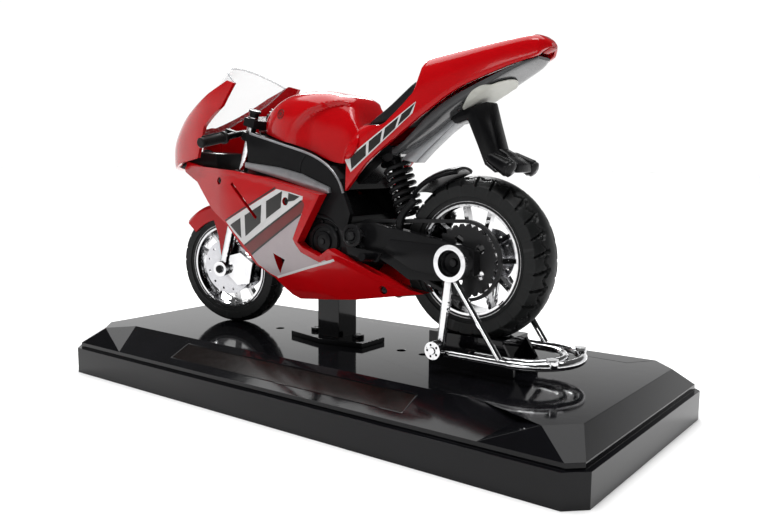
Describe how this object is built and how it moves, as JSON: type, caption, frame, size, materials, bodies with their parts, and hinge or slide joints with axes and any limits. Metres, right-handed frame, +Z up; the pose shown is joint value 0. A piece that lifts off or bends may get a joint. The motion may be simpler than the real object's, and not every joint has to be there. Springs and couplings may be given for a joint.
{
  "type": "toy racing motorcycle on a display base",
  "caption": "Small-scale fully faired racing motorcycle with turning wheels, steering and a rear paddock stand, on a black bevelled display base.",
  "frame": {"origin": "centre of the underside of the display base, on the surface that it stands on", "axes": "+X towards the front wheel, along the base; +Y to the rider's left; +Z up"},
  "size_m": [0.15, 0.069, 0.0844],
  "materials": {
    "black_base": "polished black styrene",
    "steel": "plain steel",
    "panel_bronze": "dark bronze panel, blank",
    "frame_black": "semi-gloss moulded black",
    "frame_grey": "silver-grey paint",
    "exhaust_silver": "satin",
    "red_paint": "gloss red enamel",
    "seat_black": "fine-grained pad",
    "lamp_red": "clear red",
    "label_cream": "paper label, blank",
    "clear_plastic": "clear moulded plastic",
    "chrome": "vacuum-plated mirror",
    "disc_metal": "plated",
    "tyre_rubber": "soft black rubber",
    "grip_rubber": "matt"
  },
  "bodies": {
    "root": {"display_base": "black_base", "base_plate": "black_base", "base_screws": "steel", "nameplate": "panel_bronze", "support_post": "black_base", "post_screws": "black_base", "wheel_block": "black_base", "main_frame": "frame_black", "frame_strip_left": "frame_grey", "frame_strip_right": "frame_grey", "engine_block": "frame_black", "engine_cover_left": "frame_black", "engine_cover_right": "frame_black", "radiator": "frame_black", "exhaust": "exhaust_silver", "footpeg_left": "frame_black", "footpeg_right": "frame_black", "fuel_tank": "red_paint", "seat": "seat_black", "tail_cowl": "red_paint", "under_tray": "frame_black", "tail_lamp": "lamp_red", "round_label": "label_cream", "plate_bracket": "frame_black", "nose_cowl": "red_paint", "headlamps": "clear_plastic", "windscreen": "clear_plastic", "fairing_left": "red_paint", "fairing_right": "red_paint", "fairing_screws": "frame_black", "pivot_bolt": "steel", "shock_body": "frame_black", "shock_spring": "frame_black"},
    "fork": {"steering_stem": "frame_black", "upper_yoke": "frame_black", "fork_leg_left": "chrome", "fork_leg_right": "chrome", "front_axle": "steel", "calliper_left": "chrome", "calliper_right": "chrome", "front_fender": "red_paint", "clip_on_left": "frame_black", "clip_on_right": "frame_black", "grip_left": "grip_rubber", "grip_right": "grip_rubber"},
    "front_wheel": {"front_rim": "chrome", "front_tyre": "tyre_rubber", "front_discs": "disc_metal"},
    "swingarm": {"swingarm": "frame_black", "chain": "frame_black", "hugger": "frame_black", "rear_axle": "steel"},
    "rear_wheel": {"rear_rim": "chrome", "rear_tyre": "tyre_rubber", "sprocket": "frame_black", "rear_disc": "disc_metal"},
    "stand": {"stand_frame": "chrome"},
    "roller_left": {"roller_left": "chrome"},
    "roller_right": {"roller_right": "chrome"}
  },
  "joints": [
    {"name": "steering", "type": "hinge", "parent": "root", "child": "fork", "pos_m": [0.04261, 0, 0.02797], "axis": [-0.2924, 0, 0.9563], "range_deg": [-24, 0]},
    {"name": "front_wheel_spin", "type": "hinge", "parent": "fork", "child": "front_wheel", "pos_m": [0.04495, 0.00052, 0.02868], "axis": [-0.1988, 0.9781, -0.0608], "continuous": true},
    {"name": "swingarm_pivot", "type": "hinge", "parent": "root", "child": "swingarm", "pos_m": [-0.007, 0, 0.041], "axis": [0, 1, 0], "range_deg": [0, 1.6], "stiffness_Nm_per_rad": 0.3, "springref_deg": -5.73, "deforming": ["shock_spring"]},
    {"name": "rear_wheel_spin", "type": "hinge", "parent": "swingarm", "child": "rear_wheel", "pos_m": [-0.034, 0, 0.0368], "axis": [0, 1, 0], "continuous": true},
    {"name": "stand_pivot", "type": "hinge", "parent": "swingarm", "child": "stand", "pos_m": [-0.034, 0, 0.0368], "axis": [0, 1, 0], "range_deg": [-6, 70]},
    {"name": "roller_left_spin", "type": "hinge", "parent": "stand", "child": "roller_left", "pos_m": [-0.0313, 0.0131, 0.0178], "axis": [0, 1, 0], "continuous": true},
    {"name": "roller_right_spin", "type": "hinge", "parent": "stand", "child": "roller_right", "pos_m": [-0.0313, -0.0131, 0.0178], "axis": [0, 1, 0], "continuous": true}
  ]
}
